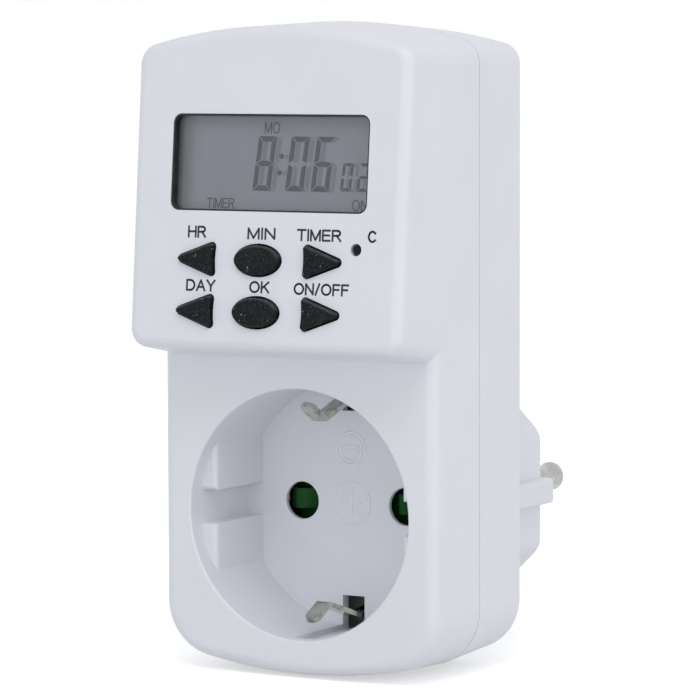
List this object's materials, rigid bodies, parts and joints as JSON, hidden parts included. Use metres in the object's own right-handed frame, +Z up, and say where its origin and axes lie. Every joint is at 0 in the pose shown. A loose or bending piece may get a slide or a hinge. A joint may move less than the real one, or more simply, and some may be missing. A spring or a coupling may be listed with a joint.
{
  "type": "plug-in timer switch",
  "caption": "Plug-in digital timer switch: earthed round plug behind, recessed socket in front, and a leaning panel with a liquid crystal display and push keys above.",
  "frame": {"origin": "middle of the plug's end face, on the axis that the plug and the socket share", "axes": "+Z up along the casing, +Y into the wall along the plug pins, +X to the right as seen from the front"},
  "size_m": [0.0502, 0.0801, 0.1022],
  "materials": {
    "casing": "satin white with a cool tint",
    "window": "clear",
    "display": "grey liquid crystal",
    "key_rubber": "matt charcoal",
    "grey_rubber": "matt",
    "black_plastic": "matt black",
    "inner_plastic": "matt",
    "shutter_green": "dark green",
    "board": "green circuit board",
    "black_resin": "black resin",
    "relay_case": "blue relay case",
    "capacitor_case": "yellow capacitor case",
    "can_sleeve": "dark sleeve",
    "varistor_disc": "blue lacquer",
    "resistor_body": "beige lacquer",
    "steel": "zinc-plated",
    "nickel": "nickel-plated brass",
    "brass": "bare brass",
    "brown_wire": "brown sleeve",
    "blue_wire": "blue sleeve"
  },
  "bodies": {
    "casing": {"front_housing": "casing", "rear_housing": "casing", "housing_screws": "steel", "display_window": "window", "lcd_glass": "display", "lcd_holder": "black_plastic", "zebra_strips": "grey_rubber", "keypad_mat": "grey_rubber", "control_board": "board", "board_screws": "steel", "controller_chip": "black_resin", "clock_crystal": "steel", "backup_cell": "steel", "power_board": "board", "power_board_screws": "steel", "relay": "relay_case", "dropper_capacitor": "capacitor_case", "filter_capacitors": "can_sleeve", "varistor": "varistor_disc", "rectifier_diodes": "black_resin", "power_resistors": "resistor_body", "thermal_fuse": "steel", "board_ribbon": "grey_rubber", "live_pin": "nickel", "neutral_pin": "nickel", "live_contact": "brass", "neutral_contact": "brass", "contact_carrier": "inner_plastic", "carrier_screws": "steel", "shutter_spring": "steel", "earth_strip_top": "nickel", "earth_strip_bottom": "nickel", "earth_link": "nickel", "live_wire": "brown_wire", "relay_wire": "brown_wire", "neutral_wire": "blue_wire"},
    "hour_key": {"hour_key": "key_rubber"},
    "minute_key": {"minute_key": "key_rubber"},
    "time_key": {"time_key": "key_rubber"},
    "day_key": {"day_key": "key_rubber"},
    "ok_key": {"ok_key": "key_rubber"},
    "switch_key": {"switch_key": "key_rubber"},
    "reset_key": {"reset_key": "key_rubber"},
    "safety_shutter": {"safety_shutter": "shutter_green"}
  },
  "joints": [
    {"name": "hour_press", "type": "slide", "parent": "casing", "child": "hour_key", "axis": [0, 0.9962, -0.0872], "range_m": [0, 0.0009], "stiffness_N_per_m": 700, "springref_m": -0.0002},
    {"name": "minute_press", "type": "slide", "parent": "casing", "child": "minute_key", "axis": [0, 0.9962, -0.0872], "range_m": [0, 0.0009], "stiffness_N_per_m": 700, "springref_m": -0.0002},
    {"name": "time_press", "type": "slide", "parent": "casing", "child": "time_key", "axis": [0, 0.9962, -0.0872], "range_m": [0, 0.0009], "stiffness_N_per_m": 700, "springref_m": -0.0002},
    {"name": "day_press", "type": "slide", "parent": "casing", "child": "day_key", "axis": [0, 0.9962, -0.0872], "range_m": [0, 0.0009], "stiffness_N_per_m": 700, "springref_m": -0.0002},
    {"name": "ok_press", "type": "slide", "parent": "casing", "child": "ok_key", "axis": [0, 0.9962, -0.0872], "range_m": [0, 0.0009], "stiffness_N_per_m": 700, "springref_m": -0.0002},
    {"name": "switch_press", "type": "slide", "parent": "casing", "child": "switch_key", "axis": [0, 0.9962, -0.0872], "range_m": [0, 0.0009], "stiffness_N_per_m": 700, "springref_m": -0.0002},
    {"name": "reset_press", "type": "slide", "parent": "casing", "child": "reset_key", "axis": [0, 0.9962, -0.0872], "range_m": [0, 0.0007], "stiffness_N_per_m": 700, "springref_m": -0.0002},
    {"name": "shutter_slide", "type": "slide", "parent": "casing", "child": "safety_shutter", "axis": [-1, 0, 0], "range_m": [0, 0.0052], "stiffness_N_per_m": 60, "springref_m": -0.003, "deforming": ["shutter_spring"]}
  ]
}
